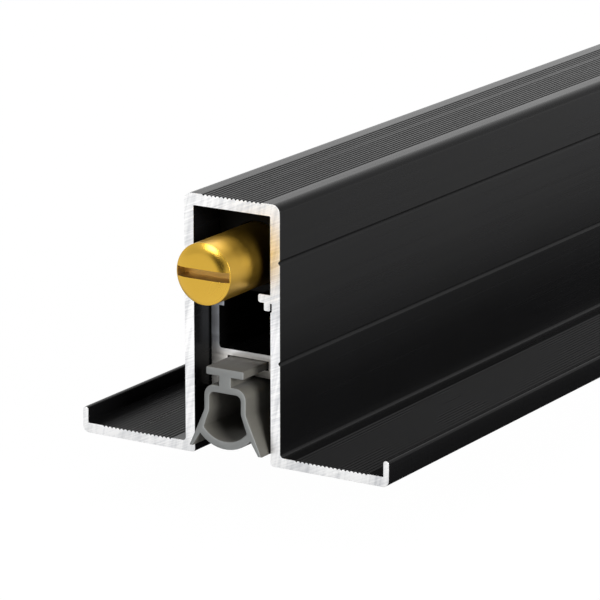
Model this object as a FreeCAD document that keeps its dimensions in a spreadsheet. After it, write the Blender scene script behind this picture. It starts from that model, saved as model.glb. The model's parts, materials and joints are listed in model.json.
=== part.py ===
import FreeCAD, Part
import math
import os
import Sketcher

# Automatic door bottom seal. A top-hat aluminium housing is let into the bottom of a door. When the door
# shuts, the frame pushes a slotted plunger in, a rod swings two pairs of bell cranks, and they lower a
# carrier with a rubber seal through the open underside. A coil spring pushes the rod back out.
#
# Millimetres. +X runs across the housing, +Y along it from the plunger's end to the far end, +Z up.
# The origin is under the middle of the whole seal, on the plane of the flanges' undersides.
# The solids stand at rest: plunger out, seal raised.

doc = FreeCAD.newDocument("DoorBottomSeal")
sizes = doc.addObject("Spreadsheet::Sheet", "Sizes")

# Driving dimensions: name, value, meaning
DIMENSIONS = (
    ("housing_length", 330, "cut length of the housing"),
    ("housing_width", 14.2, "across the two side walls, outside"),
    ("housing_height", 34, "flange underside to top"),
    ("side_wall", 1.4, "side wall thickness"),
    ("top_wall", 1.55, "top wall thickness"),
    ("top_corner_radius", 1.1, "outer top corners"),
    ("chamber_corner_radius", 0.15, "inner top corners"),
    ("chamber_height", 10.15, "ledges to the ceiling"),
    ("flange_span", 46, "across both flanges"),
    ("flange_thickness", 1.3, "flange thickness"),
    ("flange_root_radius", 0.5, "between flange and side wall"),
    ("lip_height", 3.4, "flange underside to lip top"),
    ("lip_thickness", 0.8, "upturned lip thickness"),
    ("lip_tip_radius", 0.35, "rounded top of the lip"),
    ("lip_corner_radius", 0.9, "outer corner under the lip"),
    ("ledge_reach", 1.8, "ledge, from the inner side wall"),
    ("ledge_thickness", 1.1, "ledge thickness"),
    ("hook_reach", 0.95, "hook's inner face, from the inner side wall"),
    ("ledge_corner_radius", 0.3, "ledges' edges"),
    ("hook_slit", 0.25, "slit between hook and side wall"),
    ("slit_recess", 0.2, "that slit, into the side wall"),
    ("hook_drop", 1.0, "hook below the ledge"),
    ("hook_corner_radius", 0.2, "hooks' feet"),
    ("wall_foot_radius", 0.4, "side walls' inner lower corners"),
    ("side_groove_width", 0.65, "V groove on the side walls"),
    ("side_groove_depth", 0.28, "V groove on the side walls"),
    ("upper_groove_height", 26.6, "middle of the upper V groove"),
    ("lower_groove_height", 13.55, "middle of the lower V groove"),
    ("rib_pitch", 0.6, "fine ribs of the top and the flanges"),
    ("rib_gap", 0.4, "V gap between two ribs, at the surface"),
    ("rib_depth", 0.2, "depth of that gap"),
    ("top_plain_band", 2.8, "plain band beside the top's ribs"),
    ("flange_inner_band", 2.4, "plain band between side wall and ribs"),
    ("flange_outer_band", 2.0, "plain band between ribs and lip"),
    ("fixing_hole_diameter", 4.2, "screw holes in the flanges"),
    ("fixing_hole_inset", 80, "screw holes, from each end"),
    ("carrier_clearance", 0.2, "carrier to the inner side wall"),
    ("carrier_rest_gap", 0.5, "raised carrier below the hooks"),
    ("carrier_inset", 3.75, "carrier's ends inside the housing's"),
    ("carrier_wall", 1.15, "carrier side wall"),
    ("carrier_lip_reach", 0.75, "lips over the carrier's channel"),
    ("carrier_lip_thickness", 0.9, "those lips"),
    ("channel_depth", 5.6, "channel from web to lips"),
    ("channel_root_radius", 0.45, "channel's lower corners"),
    ("web_thickness", 0.8, "web between channel and T slot"),
    ("slot_width", 6.2, "T slot"),
    ("slot_depth", 1.25, "T slot"),
    ("slot_mouth", 2.2, "mouth of the T slot"),
    ("slot_lip_thickness", 1.0, "lips of the T slot"),
    ("skirt_thickness", 1.0, "skirts beside the bulb"),
    ("skirt_drop", 2.15, "skirts below the T slot's lips"),
    ("seal_overhang", 1.8, "seal past each end of the housing"),
    ("head_side_fit", 0.3, "T head to the slot's sides"),
    ("head_fit", 0.1, "T head to the slot's top and lips"),
    ("neck_fit", 0.2, "neck to the slot's mouth"),
    ("bulb_gap", 0.15, "bulb below the slot's lips"),
    ("head_corner_radius", 0.2, "T head's edges"),
    ("bulb_width", 6.2, "upper bulb"),
    ("bulb_height", 8.2, "bulb top to about its bottom"),
    ("bulb_wall", 0.75, "bulb's wall"),
    ("bulb_roof", 0.95, "bulb's wall under the neck"),
    ("bulb_floor", 1.05, "bulb's wall at the bottom"),
    ("bulb_sag", 1.5, "round bottom below the place where fins and bulb part"),
    ("bulb_shoulder_radius", 1.5, "upper corners of the bulb"),
    ("hollow_sag", 1.4, "hollow's round bottom below its corners"),
    ("hollow_corner_wall", 0.95, "hollow's corners to the fins' outer faces, level"),
    ("hollow_corner_radius", 0.3, "hollow's lower corners"),
    ("waist_drop", 3.4, "bulb top to the fins' roots"),
    ("waist_radius", 1.5, "outside, at the fins' roots"),
    ("fin_below_bulb", 0.3, "fins' tips below the bulb"),
    ("fin_root_thickness", 0.85, "fins where they part from the bulb, level"),
    ("fin_tip_thickness", 0.5, "fins' tips, level"),
    ("fin_wall_gap", 0.3, "fins' tips to the inner side wall"),
    ("plunger_wall", 2, "brass plunger round the rod"),
    ("plunger_length", 18.9, "brass plunger"),
    ("plunger_projection", 6.9, "plunger out of the housing"),
    ("plunger_crown_radius", 2, "round of the plunger's front rim"),
    ("plunger_crown_drop", 0.25, "how far the rim falls back to the plunger's side"),
    ("plunger_slot_width", 1.1, "screwdriver slot"),
    ("plunger_slot_depth", 1.5, "screwdriver slot"),
    ("plunger_slot_rim", 0.3, "rim left at the slot's ends"),
    ("plunger_thread_depth", 10, "rod inside the plunger"),
    ("plunger_stroke", 6, "travel of plunger and rod"),
    ("thread_clearance", 0.05, "plunger and nut round the rod"),
    ("running_clearance", 0.1, "plunger in its guide, rod in the brackets"),
    ("lock_nut_wall", 1.25, "lock nut's flats past the rod"),
    ("lock_nut_thickness", 2.4, "lock nut"),
    ("rod_rise", 3.4, "rod's axis above the ledges"),
    ("rod_side_gap", 0.3, "rod to the lever plates"),
    ("rod_tail", 5, "rod behind the rear drive pin"),
    ("rod_chamfer", 0.4, "rod's ends"),
    ("block_fit", 0.1, "guide and brackets to the chamber"),
    ("foot_side_fit", 0.3, "guide's foot to the ledges' edges"),
    ("guide_setback", 6, "guide behind the housing's end"),
    ("guide_length", 16, "plunger guide"),
    ("guide_floor", 1.0, "guide's wall under its bore"),
    ("block_corner_radius", 0.6, "guide's and brackets' upper corners"),
    ("seal_drop", 10, "travel of the seal"),
    ("front_pivot_place", 132, "front pivot behind the housing's end"),
    ("pivot_spacing", 84, "front pivot to rear pivot"),
    ("lever_thickness", 1.0, "lever plates"),
    ("lever_width", 4.4, "lever arms"),
    ("lever_lip_gap", 0.3, "lever plates to the carrier's lips"),
    ("lever_side_gap", 0.2, "lever plates to the tongue between them"),
    ("lever_web_gap", 0.3, "levers above the carrier's web"),
    ("lift_rise", 1.5, "raised lift pin above the pivot"),
    ("pin_diameter", 2, "pivot, drive and lift pins"),
    ("pin_clearance", 0.05, "levers round their pivot pins"),
    ("pin_press", 0.01, "pins in the pieces that hold them"),
    ("pin_overhang", 0.15, "pins past the lever plates"),
    ("fork_clearance", 0.15, "fork beside the drive pin"),
    ("fork_rim", 1.2, "fork past the drive pin's middle"),
    ("bracket_setback", 8, "bracket block before its pivot"),
    ("bracket_length", 23, "bracket block"),
    ("tongue_floor", 2.1, "tongue round the pivot"),
    ("tongue_clip_gap", 0.4, "tongue below the stop clip's path"),
    ("tongue_root", 18, "tongue's root, before its pivot"),
    ("screw_diameter", 2.6, "bracket screws"),
    ("screw_head_diameter", 5, "bracket screws"),
    ("screw_clearance", 0.1, "screws in the housing and brackets"),
    ("screw_spacing", 11, "two screws of a bracket"),
    ("screw_tip_wall", 0.8, "bracket between screw and rod"),
    ("screw_sink", 0.1, "screw heads below the top"),
    ("screw_seat_gap", 0.03, "screw heads in their countersinks"),
    ("screw_recess_width", 0.7, "cross recess"),
    ("screw_recess_length", 2.6, "cross recess"),
    ("screw_recess_depth", 0.8, "cross recess"),
    ("spring_length", 28, "return spring at rest"),
    ("spring_wire", 0.8, "return spring"),
    ("spring_rod_gap", 0.7, "spring round the rod"),
    ("spring_turns", 6, "return spring"),
    ("washer_rim", 1.6, "spring washer past the rod"),
    ("washer_thickness", 0.8, "spring washer"),
    ("clip_rim", 1.2, "retaining clips past the rod"),
    ("clip_thickness", 0.6, "retaining clips"),
    ("clip_depth", 0.4, "clips' grooves in the rod"),
    ("clip_fit", 0.05, "clips in their grooves"),
    ("clip_snap", 0.3, "clips' mouths, narrower than the groove on each side"),
    ("saddle_fit", 0.15, "saddles in the carrier's channel"),
    ("saddle_base", 1.0, "saddle's floor under the levers"),
    ("saddle_front", 5, "saddle before its lift pin"),
    ("saddle_rear", 5, "saddle's tongue behind its lift pin"),
    ("saddle_block", 7, "saddle's full block behind that"),
    ("saddle_slot_play", 0.3, "lift pin in the saddle's slot"),
    ("saddle_slot_rim", 1.2, "saddle above its slot"),
    ("saddle_pin_diameter", 2.4, "cross pins of the saddles"),
)

for row, (name, number, meaning) in enumerate(DIMENSIONS, start=1):
    sizes.set(f"A{row}", name)
    sizes.set(f"B{row}", str(number))
    sizes.set(f"C{row}", meaning)
    sizes.setAlias(f"B{row}", name)
doc.recompute()


def size(name):
    """A cell of the sheet, as it is written in an expression."""
    return f"Sizes.{name}"


def value(expression):
    """The plain number that an expression gives."""
    result = sizes.evalExpression(expression)
    return float(getattr(result, "Value", result))


def minus(expression):
    return f"-({expression})"


def nearly(radius):
    """A corner radius just short of the one that would leave no straight edge between two corners."""
    return f"0.95 * {radius}"


# Places worked out from the driving dimensions, as expressions

# Along the housing, from its front end
FRONT_END = "(-(Sizes.housing_length + Sizes.seal_overhang - Sizes.plunger_projection) / 2)"
BRACKET_BACK = "(-Sizes.bracket_setback)"
BRACKET_FRONT = "(-Sizes.bracket_setback - Sizes.bracket_length)"
PIVOTS = {
    "front": "Sizes.front_pivot_place",
    "rear": "(Sizes.front_pivot_place + Sizes.pivot_spacing)",
}
SPRING_BACK = f"({PIVOTS['front']} + {BRACKET_FRONT})"
SPRING_FRONT = f"({SPRING_BACK} - Sizes.spring_length)"

# Across, from the middle plane
WALL_OUT = "(Sizes.housing_width / 2)"
WALL_IN = f"({WALL_OUT} - Sizes.side_wall)"
RIM = "(Sizes.flange_span / 2)"
LIP_IN = f"({RIM} - Sizes.lip_thickness)"
LEDGE_TIP = f"({WALL_IN} - Sizes.ledge_reach)"
CARRIER_OUT = f"({WALL_IN} - Sizes.carrier_clearance)"
CHANNEL_SIDE = f"({CARRIER_OUT} - Sizes.carrier_wall)"
CARRIER_LIP = f"({CHANNEL_SIDE} - Sizes.carrier_lip_reach)"
LEVER_OUT = f"({CARRIER_LIP} - Sizes.lever_lip_gap)"
LEVER_IN = f"({LEVER_OUT} - Sizes.lever_thickness)"
TONGUE_SIDE = f"({LEVER_IN} - Sizes.lever_side_gap)"
ROD_RADIUS = f"({LEVER_IN} - Sizes.rod_side_gap)"
PLUNGER_RADIUS = f"({ROD_RADIUS} + Sizes.plunger_wall)"
PIN_END = f"({LEVER_OUT} + Sizes.pin_overhang)"
BLOCK_SIDE = f"({WALL_IN} - Sizes.block_fit)"

# Upwards, from the flanges' undersides
CEILING = "(Sizes.housing_height - Sizes.top_wall)"
LEDGE_TOP = f"({CEILING} - Sizes.chamber_height)"
LEDGE_FOOT = f"({LEDGE_TOP} - Sizes.ledge_thickness)"
HOOK_FOOT = f"({LEDGE_FOOT} - Sizes.hook_drop)"
ROD_LEVEL = f"({LEDGE_TOP} + Sizes.rod_rise)"
BLOCK_FLOOR = LEDGE_TOP
BLOCK_TOP = f"({CEILING} - Sizes.block_fit)"
CARRIER_TOP = f"({HOOK_FOOT} - Sizes.carrier_rest_gap)"
CHANNEL_TOP = f"({CARRIER_TOP} - Sizes.carrier_lip_thickness)"
WEB_TOP = f"({CHANNEL_TOP} - Sizes.channel_depth)"
WEB_FOOT = f"({WEB_TOP} - Sizes.web_thickness)"
SLOT_FLOOR = f"({WEB_FOOT} - Sizes.slot_depth)"
SLOT_FOOT = f"({SLOT_FLOOR} - Sizes.slot_lip_thickness)"
SKIRT_FOOT = f"({SLOT_FOOT} - Sizes.skirt_drop)"
PIVOT_LEVEL = f"({WEB_TOP} + Sizes.lever_web_gap + Sizes.lever_width / 2)"
LIFT_LEVEL = f"({PIVOT_LEVEL} + Sizes.lift_rise)"

# Bell cranks. The drive arm swings as far each side of upright as half the stroke takes it, and the lift
# arm is as long as it must be for that swing to lower the seal by its drop.
DRIVE_HEIGHT = f"({ROD_LEVEL} - {PIVOT_LEVEL})"
HALF_SWING = f"atan(Sizes.plunger_stroke / 2 / {DRIVE_HEIGHT})"
LIFT_REACH = (
    f"((Sizes.seal_drop - Sizes.lift_rise + Sizes.lift_rise * cos(2 * {HALF_SWING})) / sin(2 * {HALF_SWING}))"
)
LIFT_ARM = f"(sqrt(Sizes.lift_rise ^ 2 + {LIFT_REACH} ^ 2))"
LIFT_ANGLE = f"(atan(Sizes.lift_rise / {LIFT_REACH}))"
DROPPED_REACH = f"({LIFT_ARM} * cos(2 * {HALF_SWING} - {LIFT_ANGLE}))"
PIN_RADIUS = "(Sizes.pin_diameter / 2)"


def plane(body, role):
    """One of a body's own origin planes or axes."""
    return next(item for item in body.Origin.OriginFeatures if item.Role == role)


def new_body(label):
    body = doc.addObject("PartDesign::Body", label)
    body.Label = label
    return body


def place(piece, x="0", y="0", z="0"):
    """Puts a piece at x, at y behind the housing's front end, and at z."""
    piece.setExpression("Placement.Base.x", x)
    piece.setExpression("Placement.Base.y", f"{FRONT_END} + {y}")
    piece.setExpression("Placement.Base.z", z)
    return piece


def new_sketch(body, name, role, offset=None):
    """A sketch on one of the body's origin planes, moved along its normal by an expression."""
    sketch = body.newObject("Sketcher::SketchObject", f"{body.Name}_{name}")
    sketch.AttachmentSupport = [(plane(body, role), "")]
    sketch.MapMode = "FlatFace"
    if offset:
        sketch.setExpression("AttachmentOffset.Base.z", offset)
    return sketch


def fix_point(sketch, geometry, end, x, y):
    """Holds a point of a sketch at two expressions, measured from the sketch's origin."""
    for kind, axis, expression in (("DistanceX", -2, x), ("DistanceY", -1, y)):
        number = value(expression)
        if expression == "0":
            sketch.addConstraint(Sketcher.Constraint("PointOnObject", geometry, end, axis))
        elif number < 0:
            index = sketch.addConstraint(Sketcher.Constraint(kind, geometry, end, -1, 1, -number))
            sketch.setExpression(f"Constraints[{index}]", minus(expression))
        else:
            index = sketch.addConstraint(Sketcher.Constraint(kind, -1, 1, geometry, end, number))
            sketch.setExpression(f"Constraints[{index}]", expression)


def set_radius(sketch, geometry, radius):
    index = sketch.addConstraint(Sketcher.Constraint("Radius", geometry, value(radius)))
    sketch.setExpression(f"Constraints[{index}]", radius)


def draw_circle(sketch, x, y, radius):
    centre = FreeCAD.Vector(value(x), value(y), 0)
    circle = Part.Circle(centre, FreeCAD.Vector(0, 0, 1), value(radius))
    geometry = sketch.addGeometry(circle)
    fix_point(sketch, geometry, 3, x, y)
    set_radius(sketch, geometry, radius)


def draw_loop(sketch, corners):
    """A closed outline. A corner is (x, y), or (x, y, radius) where it is rounded."""
    points = [FreeCAD.Vector(value(corner[0]), value(corner[1]), 0) for corner in corners]
    starts, ends, arcs = [], [], []
    for index, corner in enumerate(corners):
        point = points[index]
        if len(corner) == 2:
            starts.append(point)
            ends.append(point)
            arcs.append(None)
            continue
        before = (points[index - 1] - point).normalize()
        after = (points[(index + 1) % len(points)] - point).normalize()
        radius = value(corner[2])
        half_angle = before.getAngle(after) / 2
        reach = radius / math.tan(half_angle)
        centre = point + (before + after).normalize() * (radius / math.sin(half_angle))
        starts.append(point + before * reach)
        ends.append(point + after * reach)
        left_turn = before.cross(after).z < 0
        first, last = (starts[-1], ends[-1]) if left_turn else (ends[-1], starts[-1])
        from_angle = math.atan2(first.y - centre.y, first.x - centre.x)
        to_angle = math.atan2(last.y - centre.y, last.x - centre.x)
        if to_angle < from_angle:
            to_angle += 2 * math.pi
        circle = Part.Circle(centre, FreeCAD.Vector(0, 0, 1), radius)
        arcs.append((Part.ArcOfCircle(circle, from_angle, to_angle), left_turn))

    lines = []
    for index in range(len(corners)):
        segment = Part.LineSegment(ends[index], starts[(index + 1) % len(corners)])
        lines.append(sketch.addGeometry(segment))
    for index, corner in enumerate(corners):
        line_in, line_out = lines[index - 1], lines[index]
        if arcs[index] is None:
            sketch.addConstraint(Sketcher.Constraint("Coincident", line_in, 2, line_out, 1))
            fix_point(sketch, line_out, 1, corner[0], corner[1])
            continue
        shape, left_turn = arcs[index]
        arc = sketch.addGeometry(shape)
        arc_in, arc_out = (1, 2) if left_turn else (2, 1)
        sketch.addConstraint(Sketcher.Constraint("Tangent", line_in, 2, arc, arc_in))
        sketch.addConstraint(Sketcher.Constraint("Tangent", arc, arc_out, line_out, 1))
        set_radius(sketch, arc, corner[2])
        apex = sketch.addGeometry(Part.Point(points[index]), True)
        fix_point(sketch, apex, 1, corner[0], corner[1])
        sketch.addConstraint(Sketcher.Constraint("PointOnObject", apex, 1, line_in))
        sketch.addConstraint(Sketcher.Constraint("PointOnObject", apex, 1, line_out))


def mirrored(half):
    """The other half of a symmetric outline, in the order that closes it."""
    return [(minus(corner[0]),) + tuple(corner[1:]) for corner in reversed(half)]


def rectangle(x_low, x_high, y_low, y_high):
    return [(x_low, y_low), (x_high, y_low), (x_high, y_high), (x_low, y_high)]


def pad(body, sketch, length, reverse=False, both_ways=False):
    feature = body.newObject("PartDesign::Pad", f"{sketch.Name}_pad")
    feature.Profile = sketch
    feature.setExpression("Length", length)
    feature.Reversed = reverse
    feature.Midplane = both_ways
    body.Tip = feature
    doc.recompute()
    return feature


def pocket(body, sketch, length=None, reverse=False, both_ways=False):
    """Cuts a sketch to a depth, or right through where there is none, and makes sure that it cut."""
    before = body.Shape.Volume
    feature = body.newObject("PartDesign::Pocket", f"{sketch.Name}_pocket")
    feature.Profile = sketch
    if length is None:
        feature.Type = "ThroughAll"
    else:
        feature.setExpression("Length", length)
    feature.Reversed = reverse
    feature.Midplane = both_ways
    body.Tip = feature
    doc.recompute()
    if body.Shape.Volume >= before:
        raise RuntimeError(f"{feature.Name} cut nothing")
    return feature


def row_of(body, feature, axis_role, spacing, count):
    """Repeats a feature along one of the body's axes."""
    pattern = body.newObject("PartDesign::LinearPattern", f"{feature.Name}_row")
    pattern.Originals = [feature]
    pattern.Direction = (plane(body, axis_role), [""])
    pattern.setExpression("Length", f"{spacing} * ({count} - 1)")
    pattern.setExpression("Occurrences", count)
    body.Tip = pattern
    doc.recompute()
    return pattern


def turned(label, profile, along="Y"):
    """A turned piece about its own X or Y axis. A corner of its profile is (place along the axis, radius),
    and a third value rounds it."""
    body = new_body(label)
    sketch = new_sketch(body, "profile", "XY_Plane")
    if along == "X":
        draw_loop(sketch, profile)
    else:
        draw_loop(sketch, [(radius, station, *rounding) for station, radius, *rounding in profile])
    revolution = body.newObject("PartDesign::Revolution", f"{label}_turn")
    revolution.Profile = sketch
    revolution.ReferenceAxis = (sketch, ["H_Axis" if along == "X" else "V_Axis"])
    revolution.Angle = 360
    body.Tip = revolution
    doc.recompute()
    return body


def cross_pin(label, half_length, diameter):
    """A pin across the housing."""
    return turned(label, rectangle(minus(half_length), half_length, "0", f"{diameter} / 2"), along="X")


def rib_row(body, name, first, level, count):
    """Fine lengthwise V gaps, side by side, in an upward face of the housing."""
    gap, depth = size("rib_gap"), size("rib_depth")
    sketch = new_sketch(body, name, "XZ_Plane")
    draw_loop(sketch, [
        (first, f"{level} - {depth}"),
        (f"{first} + {gap}", f"{level} + {depth}"),
        (f"{first} - {gap}", f"{level} + {depth}"),
    ])
    row_of(body, pocket(body, sketch), "X_Axis", size("rib_pitch"), count)


def build_housing():
    body = new_body("housing")
    groove, dent = "Sizes.side_groove_width / 2", f"{WALL_OUT} - Sizes.side_groove_depth"
    low, high = size("lower_groove_height"), size("upper_groove_height")
    outside = [
        (WALL_IN, "0", size("wall_foot_radius")),
        (RIM, "0", size("lip_corner_radius")),
        (RIM, size("lip_height"), size("lip_tip_radius")),
        (LIP_IN, size("lip_height"), size("lip_tip_radius")),
        (LIP_IN, size("flange_thickness")),
        (WALL_OUT, size("flange_thickness"), size("flange_root_radius")),
        (WALL_OUT, f"{low} - {groove}"),
        (dent, low),
        (WALL_OUT, f"{low} + {groove}"),
        (WALL_OUT, f"{high} - {groove}"),
        (dent, high),
        (WALL_OUT, f"{high} + {groove}"),
        (WALL_OUT, size("housing_height"), size("top_corner_radius")),
    ]
    hook_in = f"{WALL_IN} - Sizes.hook_reach"
    slit_out = f"{WALL_IN} + Sizes.slit_recess"
    hook_out = f"{slit_out} - Sizes.hook_slit"
    edge, foot = size("ledge_corner_radius"), size("hook_corner_radius")
    inside = [
        (WALL_IN, CEILING, size("chamber_corner_radius")),
        (WALL_IN, LEDGE_TOP),
        (LEDGE_TIP, LEDGE_TOP, edge),
        (LEDGE_TIP, LEDGE_FOOT, edge),
        (hook_in, LEDGE_FOOT),
        (hook_in, HOOK_FOOT, foot),
        (hook_out, HOOK_FOOT, foot),
        (hook_out, LEDGE_FOOT),
        (slit_out, LEDGE_FOOT),
        (slit_out, HOOK_FOOT),
        (WALL_IN, f"{HOOK_FOOT} - Sizes.slit_recess"),
    ]
    section = new_sketch(body, "section", "XZ_Plane")
    draw_loop(section, outside + mirrored(outside) + mirrored(inside) + inside)
    pad(body, section, size("housing_length"), reverse=True)

    pitch = size("rib_pitch")
    top_count = f"(floor((Sizes.housing_width - 2 * Sizes.top_plain_band) / {pitch}) + 1)"
    rib_row(body, "top_ribs", f"-{pitch} * ({top_count} - 1) / 2", size("housing_height"), top_count)
    nearest = f"({WALL_OUT} + Sizes.flange_inner_band)"
    limit = f"({LIP_IN} - Sizes.flange_outer_band)"
    flange_count = f"(floor(({limit} - {nearest}) / {pitch}) + 1)"
    farthest = f"({nearest} + {pitch} * ({flange_count} - 1))"
    rib_row(body, "right_ribs", nearest, size("flange_thickness"), flange_count)
    rib_row(body, "left_ribs", minus(farthest), size("flange_thickness"), flange_count)

    fixings = new_sketch(body, "fixing_holes", "XY_Plane")
    middle = f"({WALL_OUT} + {LIP_IN}) / 2"
    for x in (middle, minus(middle)):
        for y in (size("fixing_hole_inset"), "Sizes.housing_length - Sizes.fixing_hole_inset"):
            draw_circle(fixings, x, y, "Sizes.fixing_hole_diameter / 2")
    pocket(body, fixings, size("lip_height"), reverse=True)

    heads = new_sketch(body, "screw_holes", "XY_Plane", size("housing_height"))
    for y in screw_places():
        draw_circle(heads, "0", y, "Sizes.screw_diameter / 2 + Sizes.screw_clearance")
    doc.recompute()
    holes = body.newObject("PartDesign::Hole", "housing_countersinks")
    holes.Profile = heads
    doc.recompute()
    holes.DepthType = "Dimension"
    holes.setExpression("Depth", "2 * Sizes.top_wall")
    holes.setExpression("Diameter", "Sizes.screw_diameter + 2 * Sizes.screw_clearance")
    holes.DrillPoint = "Flat"
    holes.HoleCutType = "Countersink"
    holes.HoleCutCustomValues = True
    mouth = "Sizes.screw_head_diameter + 2 * (Sizes.screw_sink + Sizes.screw_seat_gap)"
    holes.setExpression("HoleCutDiameter", mouth)
    holes.HoleCutCountersinkAngle = 90
    body.Tip = holes
    doc.recompute()
    return place(body)


def screw_places():
    """Where the bracket screws stand, behind the housing's front end."""
    places = []
    for pivot in PIVOTS.values():
        middle = f"({pivot} + ({BRACKET_FRONT} + {BRACKET_BACK}) / 2)"
        places.append(f"({middle} - Sizes.screw_spacing / 2)")
        places.append(f"({middle} + Sizes.screw_spacing / 2)")
    return places


def build_carrier():
    body = new_body("seal_carrier")
    skirt_in = f"{CARRIER_OUT} - Sizes.skirt_thickness"
    outside = [
        (skirt_in, SKIRT_FOOT),
        (CARRIER_OUT, SKIRT_FOOT),
        (CARRIER_OUT, CARRIER_TOP),
        (CARRIER_LIP, CARRIER_TOP),
        (CARRIER_LIP, CHANNEL_TOP),
        (CHANNEL_SIDE, CHANNEL_TOP),
        (CHANNEL_SIDE, WEB_TOP, size("channel_root_radius")),
    ]
    slot = [
        ("Sizes.slot_width / 2", WEB_FOOT),
        ("Sizes.slot_width / 2", SLOT_FLOOR),
        ("Sizes.slot_mouth / 2", SLOT_FLOOR),
        ("Sizes.slot_mouth / 2", SLOT_FOOT),
        (skirt_in, SLOT_FOOT),
    ]
    section = new_sketch(body, "section", "XZ_Plane")
    draw_loop(section, outside + mirrored(outside) + mirrored(slot) + slot)
    pad(body, section, "Sizes.housing_length - 2 * Sizes.carrier_inset", reverse=True)

    holes = new_sketch(body, "pin_holes", "YZ_Plane")
    for pivot in PIVOTS.values():
        y = f"{saddle_pin_place(pivot)} - Sizes.carrier_inset"
        draw_circle(holes, y, SADDLE_PIN_LEVEL, "Sizes.saddle_pin_diameter / 2 + Sizes.pin_press")
    pocket(body, holes, both_ways=True)
    return place(body, y=size("carrier_inset"))


SADDLE_PIN_LEVEL = f"({WEB_TOP} + Sizes.channel_depth / 2)"


def saddle_pin_place(pivot):
    """Where a saddle's cross pin stands: in the middle of the saddle's block."""
    return f"({pivot} + {LIFT_REACH} + Sizes.saddle_rear + Sizes.saddle_block / 2)"


def round_foot(side, level, foot):
    """The corner below a round bottom that runs from (side, level) by about (0, foot) to (-side, level)."""
    sag = f"({level} - {foot})"
    radius = f"(({side} ^ 2 + {sag} ^ 2) / (2 * {sag}))"
    tangents_meet = f"{level} - 2 * {sag} * {side} ^ 2 / ({side} ^ 2 - {sag} ^ 2)"
    return ("0", tangents_meet, nearly(radius))


def build_seal():
    body = new_body("door_seal")
    bulb_top = f"({SLOT_FOOT} - Sizes.bulb_gap)"
    bulb_foot = f"({bulb_top} - Sizes.bulb_height)"
    bulb_side = "(Sizes.bulb_width / 2)"
    waist = f"({bulb_top} - Sizes.waist_drop)"
    fin_foot = f"({bulb_foot} - Sizes.fin_below_bulb)"
    fin_tip = f"({WALL_IN} - Sizes.fin_wall_gap)"
    fin_slope = f"(({fin_tip} - {bulb_side}) / ({waist} - {fin_foot}))"
    head_side = "Sizes.slot_width / 2 - Sizes.head_side_fit"
    head_foot = f"{SLOT_FLOOR} + Sizes.head_fit"
    neck_side = "Sizes.slot_mouth / 2 - Sizes.neck_fit"
    parting = f"({bulb_foot} + Sizes.bulb_sag)"
    parting_side = f"({bulb_side} + {fin_slope} * ({waist} - {parting}) - Sizes.fin_root_thickness)"
    outside = [
        (head_side, f"{WEB_FOOT} - Sizes.head_fit", size("head_corner_radius")),
        (head_side, head_foot, size("head_corner_radius")),
        (neck_side, head_foot),
        (neck_side, bulb_top),
        (bulb_side, bulb_top, size("bulb_shoulder_radius")),
        (bulb_side, waist, size("waist_radius")),
        (fin_tip, fin_foot),
        (f"{fin_tip} - Sizes.fin_tip_thickness", fin_foot),
        (parting_side, parting),
    ]
    hollow_side = f"({bulb_side} - Sizes.bulb_wall)"
    hollow_foot = f"({bulb_foot} + Sizes.bulb_floor)"
    corner = f"({hollow_foot} + Sizes.hollow_sag)"
    corner_side = f"({bulb_side} + {fin_slope} * ({waist} - {corner}) - Sizes.hollow_corner_wall)"
    hollow = [
        (hollow_side, f"{bulb_top} - Sizes.bulb_roof", "Sizes.bulb_shoulder_radius - Sizes.bulb_wall"),
        (hollow_side, waist, size("waist_radius")),
        (corner_side, corner, size("hollow_corner_radius")),
    ]
    section = new_sketch(body, "section", "XZ_Plane")
    draw_loop(section, outside + [round_foot(parting_side, parting, bulb_foot)] + mirrored(outside))
    draw_loop(section, hollow + [round_foot(corner_side, corner, hollow_foot)] + mirrored(hollow))
    pad(body, section, "Sizes.housing_length + 2 * Sizes.seal_overhang", reverse=True)
    return place(body, y="(-Sizes.seal_overhang)")


def build_plunger():
    """A slotted button. Its flat front runs into a crowned rim that meets the side at an angle."""
    crown, drop = size("plunger_crown_radius"), size("plunger_crown_drop")
    tilt = f"acos(1 - {drop} / {crown})"
    tangents_meet = f"{PLUNGER_RADIUS} - {crown} * (sin({tilt}) - tan({tilt} / 2))"
    bore = f"{ROD_RADIUS} + Sizes.thread_clearance"
    length = size("plunger_length")
    bore_end = f"{length} - Sizes.plunger_thread_depth"
    body = turned("plunger", [
        ("0", "0"),
        ("0", tangents_meet, nearly(crown)),
        (drop, PLUNGER_RADIUS),
        (length, PLUNGER_RADIUS),
        (length, bore),
        (bore_end, bore),
        (bore_end, "0"),
    ])
    slot = new_sketch(body, "slot", "XZ_Plane")
    reach, half = f"({PLUNGER_RADIUS} - Sizes.plunger_slot_rim)", "(Sizes.plunger_slot_width / 2)"
    draw_loop(slot, rectangle(minus(reach), reach, minus(half), half))
    pocket(body, slot, size("plunger_slot_depth"))
    return place(body, y="(-Sizes.plunger_projection)", z=ROD_LEVEL)


PLUNGER_BACK = "(Sizes.plunger_length - Sizes.plunger_projection)"
ROD_FRONT = f"({PLUNGER_BACK} - Sizes.plunger_thread_depth + Sizes.rod_chamfer)"
ROD_BACK = f"({PIVOTS['rear']} - Sizes.plunger_stroke / 2 + Sizes.rod_tail)"
CLIP_WIDTH = "(Sizes.clip_thickness + 2 * Sizes.clip_fit)"
SPRING_CLIP = f"({SPRING_FRONT} - Sizes.washer_thickness - Sizes.clip_fit - Sizes.clip_thickness)"
STOP_CLIP = f"({PIVOTS['front']} + {BRACKET_BACK} + Sizes.clip_fit)"


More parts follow.
